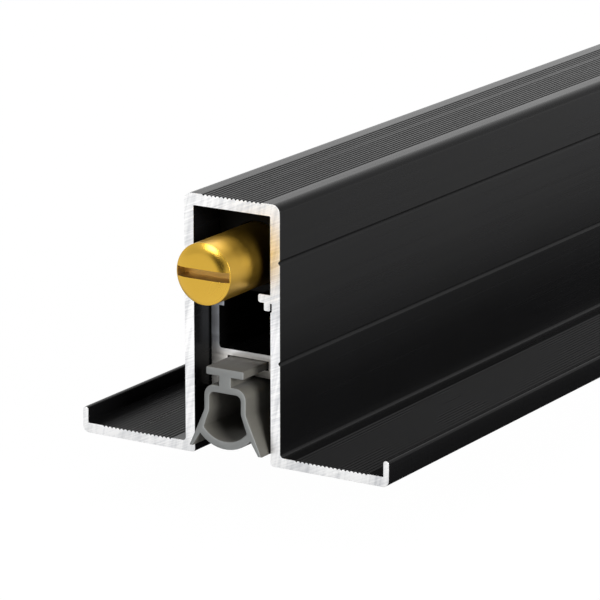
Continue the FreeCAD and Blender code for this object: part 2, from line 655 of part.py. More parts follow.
def build_rod():
    chamfer = size("rod_chamfer")
    neck = f"{ROD_RADIUS} - Sizes.clip_depth"
    length = f"({ROD_BACK} - {ROD_FRONT})"
    profile = [("0", "0"), ("0", f"{ROD_RADIUS} - {chamfer}"), (chamfer, ROD_RADIUS)]
    for clip in (SPRING_CLIP, STOP_CLIP):
        groove = f"({clip} - Sizes.clip_fit - {ROD_FRONT})"
        profile += [
            (groove, ROD_RADIUS),
            (groove, neck),
            (f"{groove} + {CLIP_WIDTH}", neck),
            (f"{groove} + {CLIP_WIDTH}", ROD_RADIUS),
        ]
    profile += [
        (f"{length} - {chamfer}", ROD_RADIUS),
        (length, f"{ROD_RADIUS} - {chamfer}"),
        (length, "0"),
    ]
    body = turned("push_rod", profile)
    holes = new_sketch(body, "pin_holes", "YZ_Plane")
    for pivot in PIVOTS.values():
        y = f"{pivot} - Sizes.plunger_stroke / 2 - {ROD_FRONT}"
        draw_circle(holes, y, "0", f"{PIN_RADIUS} + Sizes.pin_press")
    pocket(body, holes, both_ways=True)
    return place(body, y=ROD_FRONT, z=ROD_LEVEL)


def build_lock_nut():
    body = new_body("lock_nut")
    flat = f"({ROD_RADIUS} + Sizes.lock_nut_wall)"
    corner = f"({flat} * 2 / sqrt(3))"
    section = new_sketch(body, "section", "XZ_Plane")
    draw_loop(section, [
        (corner, "0"),
        (f"{corner} / 2", flat),
        (minus(f"{corner} / 2"), flat),
        (minus(corner), "0"),
        (minus(f"{corner} / 2"), minus(flat)),
        (f"{corner} / 2", minus(flat)),
    ])
    draw_circle(section, "0", "0", f"{ROD_RADIUS} + Sizes.thread_clearance")
    pad(body, section, size("lock_nut_thickness"), reverse=True)
    return place(body, y=PLUNGER_BACK, z=ROD_LEVEL)


def build_guide():
    body = new_body("plunger_guide")
    foot_side = f"{LEDGE_TIP} - Sizes.foot_side_fit"
    bore = f"{PLUNGER_RADIUS} + Sizes.running_clearance"
    foot = f"{ROD_LEVEL} - ({bore}) - Sizes.guide_floor"
    half = [
        (foot_side, foot),
        (foot_side, BLOCK_FLOOR),
        (BLOCK_SIDE, BLOCK_FLOOR),
        (BLOCK_SIDE, BLOCK_TOP, size("block_corner_radius")),
    ]
    section = new_sketch(body, "section", "XZ_Plane")
    draw_loop(section, half + mirrored(half))
    draw_circle(section, "0", ROD_LEVEL, bore)
    pad(body, section, size("guide_length"), reverse=True)
    return place(body, y=size("guide_setback"))


def build_bracket(side, pivot):
    """A block on the ledges, with a tongue that hangs between the lever plates and holds their pivot pin."""
    body = new_body(f"{side}_bracket")
    half = [
        (BLOCK_SIDE, BLOCK_FLOOR),
        (BLOCK_SIDE, BLOCK_TOP, size("block_corner_radius")),
    ]
    block = new_sketch(body, "block", "XZ_Plane", minus(BRACKET_FRONT))
    draw_loop(block, half + mirrored(half))
    pad(body, block, size("bracket_length"), reverse=True)

    floor = size("tongue_floor")
    tongue_top = f"{ROD_LEVEL} - {ROD_RADIUS} - Sizes.clip_rim - Sizes.tongue_clip_gap"
    tongue = new_sketch(body, "tongue", "YZ_Plane")
    draw_loop(tongue, [
        (f"{BRACKET_BACK} - Sizes.tongue_root", BLOCK_FLOOR),
        (minus(f"2 * {floor}"), f"{PIVOT_LEVEL} - {floor}", floor),
        (floor, f"{PIVOT_LEVEL} - {floor}", nearly(floor)),
        (floor, tongue_top),
        (BRACKET_BACK, tongue_top),
        (BRACKET_BACK, BLOCK_FLOOR),
    ])
    pad(body, tongue, f"2 * {TONGUE_SIDE}", both_ways=True)

    bore = new_sketch(body, "rod_bore", "XZ_Plane", minus(BRACKET_FRONT))
    draw_circle(bore, "0", ROD_LEVEL, f"{ROD_RADIUS} + Sizes.running_clearance")
    pocket(body, bore)

    pivot_hole = new_sketch(body, "pivot_hole", "YZ_Plane")
    draw_circle(pivot_hole, "0", PIVOT_LEVEL, f"{PIN_RADIUS} + Sizes.pin_press")
    pocket(body, pivot_hole, both_ways=True)

    pilots = new_sketch(body, "screw_pilots", "XY_Plane", BLOCK_TOP)
    middle = f"({BRACKET_FRONT} + {BRACKET_BACK}) / 2"
    for y in (f"{middle} - Sizes.screw_spacing / 2", f"{middle} + Sizes.screw_spacing / 2"):
        draw_circle(pilots, "0", y, "Sizes.screw_diameter / 2 + Sizes.screw_clearance")
    pocket(body, pilots, f"{BLOCK_TOP} - {SCREW_TIP} + Sizes.screw_clearance")
    return place(body, y=pivot)


SCREW_TIP = f"({ROD_LEVEL} + {ROD_RADIUS} + Sizes.running_clearance + Sizes.screw_tip_wall)"
SCREW_LENGTH = f"(Sizes.housing_height - Sizes.screw_sink - {SCREW_TIP})"


def build_screws():
    """Countersunk screws with a cross recess, through the housing's top into the brackets."""
    screws = []
    head, shank = "(Sizes.screw_head_diameter / 2)", "(Sizes.screw_diameter / 2)"
    for number, y in enumerate(screw_places(), start=1):
        body = new_body(f"bracket_screw_{number}")
        profile = new_sketch(body, "profile", "XZ_Plane")
        draw_loop(profile, [
            ("0", "0"),
            (head, "0"),
            (shank, f"{shank} - {head}"),
            (shank, minus(SCREW_LENGTH)),
            ("0", minus(SCREW_LENGTH)),
        ])
        revolution = body.newObject("PartDesign::Revolution", f"{body.Name}_turn")
        revolution.Profile = profile
        revolution.ReferenceAxis = (profile, ["V_Axis"])
        revolution.Angle = 360
        body.Tip = revolution
        doc.recompute()
        wide, narrow = "Sizes.screw_recess_length / 2", "Sizes.screw_recess_width / 2"
        recess = new_sketch(body, "recess", "XY_Plane")
        arm = [(wide, minus(narrow)), (wide, narrow), (narrow, narrow), (narrow, wide)]
        foot = [(minus(narrow), minus(wide)), (narrow, minus(wide)), (narrow, minus(narrow))]
        back = [(minus(narrow), wide), (minus(narrow), narrow), (minus(wide), narrow)]
        back += [(minus(wide), minus(narrow)), (minus(narrow), minus(narrow))]
        draw_loop(recess, arm + back + foot)
        pocket(body, recess, size("screw_recess_depth"))
        screws.append(place(body, y=y, z="Sizes.housing_height - Sizes.screw_sink"))
    group = doc.addObject("Part::Compound", "bracket_screws")
    group.Links = screws
    return group


def build_lever(side, hand, pivot):
    """One plate of a bell crank, drawn with its drive arm upright and turned back by half the swing."""
    body = new_body(f"{side}_lever_{hand}")
    half_width = "(Sizes.lever_width / 2)"
    inner = LEVER_IN if hand == "right" else minus(LEVER_OUT)
    pin_far = f"({DRIVE_HEIGHT} / cos({HALF_SWING}))"

    drive_arm = new_sketch(body, "drive_arm", "YZ_Plane", inner)
    draw_loop(drive_arm, [
        (minus(half_width), minus(half_width), nearly(half_width)),
        (half_width, minus(half_width), nearly(half_width)),
        (half_width, f"{pin_far} + Sizes.fork_rim"),
        (minus(half_width), f"{pin_far} + Sizes.fork_rim"),
    ])
    pad(body, drive_arm, size("lever_thickness"))

    lift_angle = f"({LIFT_ANGLE} - {HALF_SWING})"
    lift_y, lift_z = f"{LIFT_ARM} * cos({lift_angle})", f"{LIFT_ARM} * sin({lift_angle})"
    side_y, side_z = f"{half_width} * sin({lift_angle})", f"{half_width} * cos({lift_angle})"
    end_y, end_z = f"{half_width} * cos({lift_angle})", f"{half_width} * sin({lift_angle})"
    lift_arm = new_sketch(body, "lift_arm", "YZ_Plane", inner)
    draw_loop(lift_arm, [
        (side_y, minus(side_z)),
        (f"{lift_y} + {side_y} + {end_y}", f"{lift_z} - {side_z} + {end_z}", nearly(half_width)),
        (f"{lift_y} - {side_y} + {end_y}", f"{lift_z} + {side_z} + {end_z}", nearly(half_width)),
        (minus(side_y), side_z),
    ])
    pad(body, lift_arm, size("lever_thickness"))

    holes = new_sketch(body, "holes", "YZ_Plane", inner)
    draw_circle(holes, "0", "0", f"{PIN_RADIUS} + Sizes.pin_clearance")
    draw_circle(holes, lift_y, lift_z, f"{PIN_RADIUS} + Sizes.pin_press")
    pocket(body, holes, size("lever_thickness"), reverse=True)

    fork = new_sketch(body, "fork", "YZ_Plane", inner)
    gap = f"({PIN_RADIUS} + Sizes.fork_clearance)"
    draw_loop(fork, [
        (minus(gap), f"{DRIVE_HEIGHT} - {gap}", nearly(gap)),
        (gap, f"{DRIVE_HEIGHT} - {gap}", nearly(gap)),
        (gap, f"{pin_far} + 2 * Sizes.fork_rim"),
        (minus(gap), f"{pin_far} + 2 * Sizes.fork_rim"),
    ])
    pocket(body, fork, size("lever_thickness"), reverse=True)

    body.Placement = FreeCAD.Placement(FreeCAD.Vector(), FreeCAD.Rotation(FreeCAD.Vector(1, 0, 0), 1))
    body.setExpression("Placement.Rotation.Angle", HALF_SWING)
    return place(body, y=pivot, z=PIVOT_LEVEL)


def build_saddle(side, pivot):
    """A block in the carrier's channel. The lift pin slides in a slot of its tongue."""
    body = new_body(f"{side}_saddle")
    channel_side = f"({CHANNEL_SIDE} - Sizes.saddle_fit)"
    back = "Sizes.saddle_rear + Sizes.saddle_block"
    block_top = f"{CHANNEL_TOP} - Sizes.saddle_fit"
    lower_corner = (channel_side, WEB_TOP, size("channel_root_radius"))

    base = new_sketch(body, "base", "XZ_Plane", size("saddle_front"))
    half = [lower_corner, (channel_side, f"{WEB_TOP} + Sizes.saddle_base")]
    draw_loop(base, half + mirrored(half))
    pad(body, base, f"Sizes.saddle_front + {back}", reverse=True)

    slot_high = f"({PIN_RADIUS} + Sizes.saddle_slot_play)"
    tongue_top = f"{LIFT_LEVEL} + {slot_high} + Sizes.saddle_slot_rim"
    tongue = new_sketch(body, "tongue", "YZ_Plane")
    draw_loop(tongue, [
        ("(-Sizes.saddle_front)", WEB_TOP),
        (back, WEB_TOP),
        (back, block_top),
        (size("saddle_rear"), block_top),
        (size("saddle_rear"), tongue_top),
        ("(-Sizes.saddle_front)", tongue_top, size("saddle_slot_rim")),
    ])
    pad(body, tongue, f"2 * {TONGUE_SIDE}", both_ways=True)

    block = new_sketch(body, "block", "XZ_Plane", minus(size("saddle_rear")))
    half = [lower_corner, (channel_side, block_top)]
    draw_loop(block, half + mirrored(half))
    pad(body, block, size("saddle_block"), reverse=True)

    slot = new_sketch(body, "slot", "YZ_Plane")
    first = f"{DROPPED_REACH} - {LIFT_REACH} - {slot_high}"
    last = f"{LIFT_ARM} - {LIFT_REACH} + {slot_high}"
    corner = nearly(slot_high)
    draw_loop(slot, [
        (first, f"{LIFT_LEVEL} - {slot_high}", corner),
        (last, f"{LIFT_LEVEL} - {slot_high}", corner),
        (last, f"{LIFT_LEVEL} + {slot_high}", corner),
        (first, f"{LIFT_LEVEL} + {slot_high}", corner),
    ])
    pocket(body, slot, both_ways=True)

    pin_hole = new_sketch(body, "pin_hole", "YZ_Plane")
    pin_y = "Sizes.saddle_rear + Sizes.saddle_block / 2"
    draw_circle(pin_hole, pin_y, SADDLE_PIN_LEVEL, "Sizes.saddle_pin_diameter / 2 + Sizes.pin_press")
    pocket(body, pin_hole, both_ways=True)
    return place(body, y=f"({pivot} + {LIFT_REACH})")


def build_washer():
    inner, outer = f"{ROD_RADIUS} + Sizes.thread_clearance", f"{ROD_RADIUS} + Sizes.washer_rim"
    thickness = size("washer_thickness")
    body = turned("spring_washer", [("0", inner), (thickness, inner), (thickness, outer), ("0", outer)])
    return place(body, y=f"({SPRING_FRONT} - {thickness})", z=ROD_LEVEL)


def build_clip(label, y):
    """A flat retaining clip, pushed into a groove of the rod from above, open below."""
    body = new_body(label)
    neck = f"({ROD_RADIUS} - Sizes.clip_depth + Sizes.clip_fit)"
    rim = f"({ROD_RADIUS} + Sizes.clip_rim)"
    ring = new_sketch(body, "ring", "XZ_Plane")
    draw_circle(ring, "0", "0", rim)
    draw_circle(ring, "0", "0", neck)
    pad(body, ring, size("clip_thickness"), reverse=True)
    mouth = new_sketch(body, "mouth", "XZ_Plane")
    half_mouth = f"({neck} - Sizes.clip_snap)"
    draw_loop(mouth, rectangle(minus(half_mouth), half_mouth, minus(f"2 * {rim}"), "0"))
    pocket(body, mouth, size("clip_thickness"))
    return place(body, y=y, z=ROD_LEVEL)


def build_spring():
    """A coil swept along a helix about its own Z axis and laid along the housing, its wire eight-sided."""
    wire = "(Sizes.spring_wire / 2)"
    radius = f"{ROD_RADIUS} + Sizes.spring_rod_gap + {wire}"
    helix = doc.addObject("Part::Helix", "spring_helix")
    helix.setExpression("Height", "Sizes.spring_length - Sizes.spring_wire")
    helix.setExpression("Pitch", "(Sizes.spring_length - Sizes.spring_wire) / Sizes.spring_turns")
    helix.setExpression("Radius", radius)
    section = doc.addObject("Part::RegularPolygon", "spring_wire_section")
    section.Polygon = 8
    section.setExpression("Circumradius", wire)
    section.Placement.Rotation = FreeCAD.Rotation(FreeCAD.Vector(1, 0, 0), 90)
    section.setExpression("Placement.Base.x", radius)
    doc.recompute()
    coil = doc.addObject("Part::Sweep", "return_spring")
    coil.Sections = [section]
    coil.Spine = (helix, ["Edge1"])
    coil.Solid = True
    coil.Frenet = True
    coil.Placement.Rotation = FreeCAD.Rotation(FreeCAD.Vector(1, 0, 0), -90)
    doc.recompute()
    return place(coil, y=f"({SPRING_FRONT} + {wire})", z=ROD_LEVEL)


pieces = [
    build_housing(),
    build_carrier(),
    build_seal(),
    build_plunger(),
    build_rod(),
    build_lock_nut(),
    build_guide(),
    build_screws(),
    build_washer(),
    build_clip("spring_clip", SPRING_CLIP),
    build_clip("stop_clip", STOP_CLIP),
    build_spring(),
]
for side, pivot in PIVOTS.items():
    pieces.append(build_bracket(side, pivot))
    pieces.append(build_saddle(side, pivot))
    for hand in ("left", "right"):
        pieces.append(build_lever(side, hand, pivot))
    pin = size("pin_diameter")
    drive_place = f"({pivot} - Sizes.plunger_stroke / 2)"
    lift_place = f"({pivot} + {LIFT_REACH})"
    pieces.append(place(cross_pin(f"{side}_pivot_pin", PIN_END, pin), y=pivot, z=PIVOT_LEVEL))
    pieces.append(place(cross_pin(f"{side}_drive_pin", PIN_END, pin), y=drive_place, z=ROD_LEVEL))
    pieces.append(place(cross_pin(f"{side}_lift_pin", PIN_END, pin), y=lift_place, z=LIFT_LEVEL))
    saddle_pin = cross_pin(f"{side}_saddle_pin", CARRIER_OUT, size("saddle_pin_diameter"))
    pieces.append(place(saddle_pin, y=saddle_pin_place(pivot), z=SADDLE_PIN_LEVEL))
doc.recompute()

for item in doc.Objects:
    if "Invalid" in item.State or "Error" in item.State:
        raise RuntimeError(f"{item.Name} failed: {item.State}")
for piece in pieces:
    if piece.Shape.isNull() or not piece.Shape.isValid():
        raise RuntimeError(f"{piece.Label} has no valid shape")

os.makedirs("parts", exist_ok=True)
for piece in pieces:
    piece.Shape.exportStep(f"parts/{piece.Label}.step")
    print(piece.Label, len(piece.Shape.Solids), round(piece.Shape.Volume, 2))
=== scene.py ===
# %% [markdown]
# # Dressing an automatic door bottom seal
#
# An automatic door bottom seal is let into the foot of a door. When the door closes, the frame pushes a
# brass plunger in, levers inside a black aluminium housing swing down, and a rubber seal drops to the
# floor. The construction already exists as a frame of solids in their real places, in metres. This lesson
# gives each piece its finish: black anodising, cut aluminium, brass, grey rubber, plated steel and nylon.

# %% Load the frame
import json
import math

import bpy
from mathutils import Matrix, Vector


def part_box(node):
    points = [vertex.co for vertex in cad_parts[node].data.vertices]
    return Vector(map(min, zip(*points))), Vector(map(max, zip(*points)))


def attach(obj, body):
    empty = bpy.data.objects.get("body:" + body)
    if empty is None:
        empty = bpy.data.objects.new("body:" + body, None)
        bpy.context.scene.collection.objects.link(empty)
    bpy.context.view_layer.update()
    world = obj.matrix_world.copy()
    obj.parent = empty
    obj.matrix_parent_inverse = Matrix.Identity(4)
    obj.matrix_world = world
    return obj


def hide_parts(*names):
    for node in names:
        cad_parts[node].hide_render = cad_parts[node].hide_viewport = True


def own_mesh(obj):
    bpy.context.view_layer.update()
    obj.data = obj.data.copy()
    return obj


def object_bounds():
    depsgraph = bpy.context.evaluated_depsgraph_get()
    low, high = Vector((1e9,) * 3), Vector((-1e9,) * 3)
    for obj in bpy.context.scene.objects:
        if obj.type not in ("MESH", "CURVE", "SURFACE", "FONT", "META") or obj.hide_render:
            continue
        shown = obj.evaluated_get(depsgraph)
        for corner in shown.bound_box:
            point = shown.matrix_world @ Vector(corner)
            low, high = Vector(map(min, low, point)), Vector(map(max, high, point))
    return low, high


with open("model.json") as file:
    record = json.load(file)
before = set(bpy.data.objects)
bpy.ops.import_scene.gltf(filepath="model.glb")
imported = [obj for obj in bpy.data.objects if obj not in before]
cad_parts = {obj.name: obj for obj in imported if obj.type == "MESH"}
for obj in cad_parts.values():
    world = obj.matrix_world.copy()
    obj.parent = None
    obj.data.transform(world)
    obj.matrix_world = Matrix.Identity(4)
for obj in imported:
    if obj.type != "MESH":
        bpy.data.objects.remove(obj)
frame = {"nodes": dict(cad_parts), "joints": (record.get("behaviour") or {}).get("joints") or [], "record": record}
solid_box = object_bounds()
MM = 0.001

# %% [markdown]
# ## The camera
#
# The object is seen from its front end, a little from the right and from above, through a long lens that
# stands half a metre away. A camera could be placed by three coordinates and aimed by eye. This one is
# turned by two angles and set back along its own line of sight, because each number is then something
# that a photographer would adjust.

# %% Camera
VIEW_TURN = math.radians(31.75)
VIEW_DROP = math.radians(15.05)
VIEW_DISTANCE = 508.75 * MM
VIEW_SIDESTEP = 8.556 * MM
VIEW_RISE = 20.189 * MM
LENS_MM = 240.5
SENSOR_MM = 36
NEAR_CLIP = 10 * MM

housing_low, housing_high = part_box("housing")
front_end = Vector((0, housing_low.y, 0))
view_back = Vector((
    math.sin(VIEW_TURN) * math.cos(VIEW_DROP),
    -math.cos(VIEW_TURN) * math.cos(VIEW_DROP),
    math.sin(VIEW_DROP),
))
view_right = Vector((math.cos(VIEW_TURN), math.sin(VIEW_TURN), 0))
view_up = view_back.cross(view_right)
view_place = front_end + view_right * VIEW_SIDESTEP + view_up * VIEW_RISE + view_back * VIEW_DISTANCE

bpy.ops.object.camera_add(location=view_place, rotation=(math.pi / 2 - VIEW_DROP, 0, VIEW_TURN))
camera = bpy.context.object
camera.data.lens = LENS_MM
camera.data.sensor_width = SENSOR_MM
camera.data.clip_start = NEAR_CLIP
bpy.context.scene.camera = camera
print("camera at", [round(x, 4) for x in view_place])

# %% [markdown]
# ## Helpers for modelling
#
# A solid arrives as loose triangles, which don't bevel or cut well. A copy that is merged, and whose flat
# triangles are dissolved into whole faces, behaves like anything modelled by hand. Operators act on all
# that is selected, so each helper first selects one piece alone.

# %% Select


def select_only(piece):
    bpy.ops.object.select_all(action="DESELECT")
    piece.select_set(True)
    bpy.context.view_layer.objects.active = piece


def select_faces(piece, wanted):
    """Goes into edit mode with only the faces selected whose normal passes the test."""
    select_only(piece)
    bpy.ops.object.mode_set(mode="EDIT")
    bpy.ops.mesh.select_mode(type="FACE")
    bpy.ops.mesh.select_all(action="DESELECT")
    bpy.ops.object.mode_set(mode="OBJECT")
    for face in piece.data.polygons:
        face.select = wanted(face.normal)
    bpy.ops.object.mode_set(mode="EDIT")


# %% Copy and soften
MERGE_DISTANCE = 0.0005 * MM
FLAT_ANGLE = math.radians(0.4)
SMOOTH_ANGLE = math.radians(32)


def copy_of(node, name):
    """A merged copy of a solid's mesh, with whole flat faces."""
    piece = bpy.data.objects.new(name, frame["nodes"][node].data.copy())
    bpy.context.scene.collection.objects.link(piece)
    select_only(piece)
    bpy.ops.object.mode_set(mode="EDIT")
    bpy.ops.mesh.select_all(action="SELECT")
    bpy.ops.mesh.remove_doubles(threshold=MERGE_DISTANCE)
    bpy.ops.mesh.dissolve_limited(angle_limit=FLAT_ANGLE)
    bpy.ops.mesh.customdata_custom_splitnormals_clear()
    bpy.ops.object.mode_set(mode="OBJECT")
    return piece


def apply_modifier(piece, kind, **settings):
    select_only(piece)
    modifier = piece.modifiers.new(kind.lower(), kind)
    for name, setting in settings.items():
        setattr(modifier, name, setting)
    bpy.ops.object.modifier_apply(modifier=modifier.name)


def smooth(piece):
    select_only(piece)
    bpy.ops.object.shade_smooth_by_angle(angle=SMOOTH_ANGLE)


def soften(piece, width, segments=2):
    """Rounds every sharp edge a little, as tumbling or deburring does. Flat faces keep flat shading."""
    smooth(piece)
    apply_modifier(
        piece, "BEVEL", width=width, segments=segments, limit_method="ANGLE", angle_limit=SMOOTH_ANGLE,
        harden_normals=True,
    )


print("edges of more than", round(math.degrees(SMOOTH_ANGLE)), "degrees count as sharp")

# %% Dress and hand over


def give_finishes(piece, *finishes):
    piece.data.materials.clear()
    for finish in finishes:
        piece.data.materials.append(finish)


def put_on(piece, body, slot, *nodes):
    """Lets a finished piece move with its body in place of the solids that it stands for."""
    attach(piece, body)
    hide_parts(*nodes)
    print(piece.name, len(piece.data.polygons), "faces, on", body)


# %% [markdown]
# ## Helpers for shader nodes
#
# Finishes, floor and studio are all small networks of nodes. Each network could be wired node by node. A
# few helpers that place one node, set or link its sockets and give back its output keep the networks
# short enough to read.

# %% Values, ranges and groups


def feed(tree, source, socket):
    """Sets a socket to a number, or links it to another node's output."""
    if isinstance(source, (int, float)):
        socket.default_value = source
    else:
        tree.links.new(source, socket)


def arithmetic(tree, operation, first, second=0.0):
    node = tree.nodes.new("ShaderNodeMath")
    node.operation = operation
    feed(tree, first, node.inputs[0])
    feed(tree, second, node.inputs[1])
    return node.outputs[0]


def ranged(tree, source, start, stop, low, high, easing="LINEAR"):
    """A value that goes from low to high while its source goes from start to stop."""
    node = tree.nodes.new("ShaderNodeMapRange")
    node.interpolation_type = easing
    for label, setting in (("From Min", start), ("From Max", stop), ("To Min", low), ("To Max", high)):
        node.inputs[label].default_value = setting
    tree.links.new(source, node.inputs["Value"])
    return node.outputs[0]


def fade(tree, source, start, stop, low, high):
    return ranged(tree, source, start, stop, low, high, easing="SMOOTHSTEP")


def placed_group(tree, group, coordinates):
    node = tree.nodes.new("ShaderNodeGroup")
    node.node_tree = group
    tree.links.new(coordinates, node.inputs["Vector"])
    return node


# %% [markdown]
# ## Shared effects
#
# Three effects turn up on several finishes. Drawing aluminium through a die leaves fine lines along its
# length. Cutting and turning leave fine marks across a face. Every real surface also has a slow
# unevenness in its gloss. Each finish could hold its own noise. Instead each effect is a node group that
# takes coordinates and gives back a value, so it is built once and each finish sets its own scale.

# %% Node groups for lines, marks and unevenness


def new_group(name, inputs, output):
    group = bpy.data.node_groups.new(name, "ShaderNodeTree")
    group.interface.new_socket("Vector", in_out="INPUT", socket_type="NodeSocketVector")
    for label, start in inputs:
        socket = group.interface.new_socket(label, in_out="INPUT", socket_type="NodeSocketFloat")
        socket.default_value = start
    group.interface.new_socket(output, in_out="OUTPUT", socket_type="NodeSocketFloat")
    enter = group.nodes.new("NodeGroupInput")
    leave = group.nodes.new("NodeGroupOutput")
    return group, enter, leave


def noise_group(name, inputs, output, stretch, detail):
    """Noise on coordinates that are scaled along X, Y and Z by the group's own inputs."""
    group, enter, leave = new_group(name, inputs, output)
    scale = group.nodes.new("ShaderNodeCombineXYZ")
    for socket, label in zip(scale.inputs, stretch):
        group.links.new(enter.outputs[label], socket)
    mapping = group.nodes.new("ShaderNodeMapping")
    group.links.new(enter.outputs["Vector"], mapping.inputs["Vector"])
    group.links.new(scale.outputs[0], mapping.inputs["Scale"])
    noise = group.nodes.new("ShaderNodeTexNoise")
    noise.inputs["Scale"].default_value = 1
    noise.inputs["Detail"].default_value = detail
    group.links.new(mapping.outputs[0], noise.inputs["Vector"])
    group.links.new(noise.outputs["Fac"], leave.inputs[0])
    return group


die_lines = noise_group(
    "die_lines", [("Across", 3000), ("Along", 6)], "Lines", stretch=("Across", "Along", "Across"), detail=3
)
tool_marks = noise_group(
    "tool_marks", [("Fine", 5000), ("Long", 90)], "Marks", stretch=("Long", "Long", "Fine"), detail=4
)
unevenness = noise_group(
    "unevenness", [("Size", 60)], "Amount", stretch=("Size", "Size", "Size"), detail=2
)
print("groups:", [group.name for group in (die_lines, tool_marks, unevenness)])

# %% [markdown]
# ## A bench for finishes
#
# Each finish starts as one shader with a metal share and a reflecting share. It then places the shared
# groups, spreads their values over a range, and sends them to gloss, colour or bump. A class holds the
# material and these few steps, so that each finish reads as a short recipe.

# %% Finish helpers
# Most of a noise lies between these two values.
NOISE_LOW = 0.3
NOISE_HIGH = 0.7
# A Mix node has sockets for every kind of value. These are its colour sockets.
MIX_COLOUR_FIRST = 6
MIX_COLOUR_SECOND = 7
MIX_COLOUR_RESULT = 2


class Finish:
    """A material with one shader, and short names for the few nodes that these finishes need."""

    def __init__(self, name, metallic=0.0, specular=0.5):
        self.material = bpy.data.materials.new(name)
        self.material.use_nodes = True
        self.tree = self.material.node_tree
        self.shader = self.tree.nodes["Principled BSDF"]
        self.shader.inputs["Metallic"].default_value = metallic
        self.shader.inputs["Specular IOR Level"].default_value = specular
        self.coordinates = self.tree.nodes.new("ShaderNodeTexCoord").outputs["Object"]

    def turned_coordinates(self, rotation):
        mapping = self.tree.nodes.new("ShaderNodeMapping")
        mapping.inputs["Rotation"].default_value = rotation
        self.tree.links.new(self.coordinates, mapping.inputs["Vector"])
        return mapping.outputs[0]

    def effect(self, group, coordinates=None, **inputs):
        node = placed_group(self.tree, group, coordinates or self.coordinates)
        for name, setting in inputs.items():
            node.inputs[name].default_value = setting
        return node.outputs[0]

    def spread(self, source, low, high, start=NOISE_LOW, stop=NOISE_HIGH):
        return ranged(self.tree, source, start, stop, low, high)

    def blend(self, share, first, second):
        """A colour between two colours, by a share from 0 to 1."""
        node = self.tree.nodes.new("ShaderNodeMix")
        node.data_type = "RGBA"
        self.tree.links.new(share, node.inputs["Factor"])
        node.inputs[MIX_COLOUR_FIRST].default_value = (*first, 1)
        node.inputs[MIX_COLOUR_SECOND].default_value = (*second, 1)
        return node.outputs[MIX_COLOUR_RESULT]

    def add(self, first, second):
        return arithmetic(self.tree, "ADD", first, second)

    def send(self, source, socket):
        self.tree.links.new(source, self.shader.inputs[socket])

    def bump(self, height, distance, strength):
        node = self.tree.nodes.new("ShaderNodeBump")
        node.inputs["Strength"].default_value = strength
        node.inputs["Distance"].default_value = distance
        self.tree.links.new(height, node.inputs["Height"])
        self.send(node.outputs[0], "Normal")


# %% [markdown]
# ## Black anodising
#
# The skin of both extrusions is a thin, dyed, glassy layer on the aluminium: nearly black, satin, with the
# die's lines still showing. It could be a dark metal, but then its reflections would be dyed too. A dark
# plain surface with a weak clear reflection gives the grey sheen that real anodising has.

# %% Anodised finish
ANODISED_DARK = (0.003, 0.003, 0.003)
ANODISED_LIGHT = (0.005, 0.005, 0.0055)


def anodised_finish():
    finish = Finish("black_anodised", specular=0.11)
    lines = finish.effect(die_lines, Across=2600, Along=5)
    cloud = finish.effect(unevenness, Size=45)
    satin = finish.spread(lines, low=0.22, high=0.28)
    finish.send(finish.add(satin, finish.spread(cloud, low=-0.02, high=0.02)), "Roughness")
    finish.send(finish.blend(cloud, ANODISED_DARK, ANODISED_LIGHT), "Base Color")
    finish.bump(lines, distance=0.01 * MM, strength=0.1)
    return finish.material


black_anodised = anodised_finish()
print("made", black_anodised.name)

# %% [markdown]
# ## Cut aluminium
#
# Where a long bar was cut to length, the metal is bare. The housing's ends are almost white, with fine
# marks from the blade and broader streaks at another slant. The carrier's ends are pale on the web that
# joins its walls. The walls' ends get a darker, bluish colour, which is painted shade for where they sit
# back in the dark housing. A picture of sawn metal could be wrapped on. Noise that is stretched along the
# blade's way gives such marks at their real scale and needs no picture.

# %% Sawn ends of the housing
MARK_SLANT = math.radians(24)
STREAK_SLANT = math.radians(78)
SAWN_DARK = (0.64, 0.65, 0.67)
SAWN_LIGHT = (1.0, 1.0, 1.0)


def sawn_finish():
    finish = Finish("sawn_aluminium", metallic=1.0)
    marks = finish.effect(tool_marks, finish.turned_coordinates((0, MARK_SLANT, 0)), Fine=4200, Long=160)
    streaks = finish.effect(tool_marks, finish.turned_coordinates((0, STREAK_SLANT, 0)), Fine=1500, Long=90)
    cloud = finish.effect(unevenness, Size=130)
    finish.send(finish.spread(marks, low=0.30, high=0.50), "Roughness")
    layers = finish.add(finish.add(marks, streaks), cloud)
    shade = finish.spread(layers, low=0, high=1, start=1.15, stop=1.65)
    finish.send(finish.blend(shade, SAWN_DARK, SAWN_LIGHT), "Base Color")
    finish.bump(marks, distance=0.02 * MM, strength=0.4)
    return finish.material


sawn_aluminium = sawn_finish()
print("made", sawn_aluminium.name)

# %% Cut ends of the carrier
# The walls' ends get this darker, bluish colour as painted shade. The web's end keeps the pale one.
WALL_SHADE_COLOUR = (0.74, 0.76, 0.82)
WEB_COLOUR = (0.98, 0.95, 0.90)
WEB_LEVEL = 12.2 * MM
WEB_FADE = 2 * MM


def cut_finish():
    finish = Finish("cut_aluminium", metallic=1.0)
    marks = finish.effect(tool_marks, Fine=2600, Long=200)
    finish.send(finish.spread(marks, low=0.30, high=0.46), "Roughness")
    place = finish.tree.nodes.new("ShaderNodeSeparateXYZ")
    finish.tree.links.new(finish.coordinates, place.inputs[0])
    # Above the web, the walls' ends fade into the painted shade colour.
    shade = finish.spread(place.outputs["Z"], low=1, high=0, start=WEB_LEVEL, stop=WEB_LEVEL + WEB_FADE)
    finish.send(finish.blend(shade, WALL_SHADE_COLOUR, WEB_COLOUR), "Base Color")
    finish.bump(marks, distance=0.012 * MM, strength=0.4)
    return finish.material


cut_aluminium = cut_finish()
print("made", cut_aluminium.name)

# %% [markdown]
# ## Brass
#
# The plunger's front is turned bright, its side keeps the duller skin of the drawn bar, and the milled
# slot gets a darker, browner brass, which is painted shade for its shaded walls. Its marks run round its
# axis. Three separate materials could be wired. One function makes all of them from two colours and a
# gloss, because they differ in nothing else.

# %% Brass finishes
ALONG_THE_BAR = (math.pi / 2, 0, 0)


